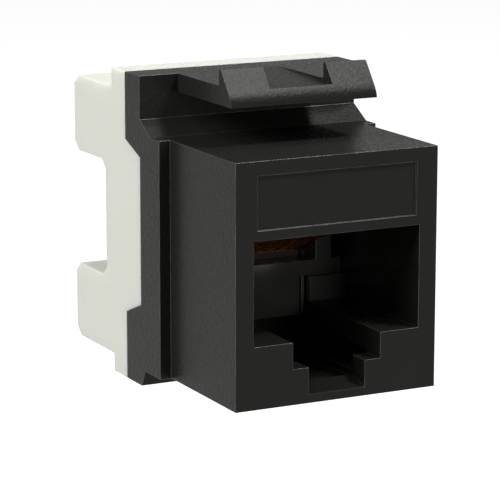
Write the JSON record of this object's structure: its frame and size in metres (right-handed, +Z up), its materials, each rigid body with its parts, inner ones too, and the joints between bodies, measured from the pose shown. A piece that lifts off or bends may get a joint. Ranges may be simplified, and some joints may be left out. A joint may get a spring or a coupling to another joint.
{
  "type": "keystone jack",
  "caption": "Snap-in keystone data jack: modular plug socket at the front, sprung panel latch on top, punch-down wire rows at the rear.",
  "frame": {"origin": "middle of the lower edge of the front face, where the jack stands on the sill of the cut-out, flush with the panel's front", "axes": "+X to the right seen from the front, +Y from the front face to the wire rows at the rear, +Z up, towards the sprung latch"},
  "size_m": [0.016, 0.0231, 0.0219],
  "materials": {
    "black_plastic": "moulded black plastic with a fine leathery grain",
    "carrier_plastic": "smooth moulded black plastic",
    "white_plastic": "satin warm white moulded plastic",
    "contact_gold": "gold-plated spring wire",
    "blade_tin": "tin-plated strip",
    "board": "pale glass cloth in clear resin"
  },
  "bodies": {
    "jack": {"front_housing": "black_plastic", "contact_carrier": "carrier_plastic", "circuit_board": "board", "idc_housing": "white_plastic", "jack_contact_1": "contact_gold", "jack_contact_2": "contact_gold", "jack_contact_3": "contact_gold", "jack_contact_4": "contact_gold", "jack_contact_5": "contact_gold", "jack_contact_6": "contact_gold", "jack_contact_7": "contact_gold", "jack_contact_8": "contact_gold", "idc_contact_1": "blade_tin", "idc_contact_2": "blade_tin", "idc_contact_3": "blade_tin", "idc_contact_4": "blade_tin", "idc_contact_5": "blade_tin", "idc_contact_6": "blade_tin", "idc_contact_7": "blade_tin", "idc_contact_8": "blade_tin"},
    "latch": {"panel_latch": "black_plastic"}
  },
  "joints": [
    {"name": "latch_flex", "type": "hinge", "parent": "jack", "child": "latch", "pos_m": [0, 0.0124, 0.01852], "axis": [1, 0, 0], "range_deg": [0, 15], "stiffness_Nm_per_rad": 0.35}
  ]
}
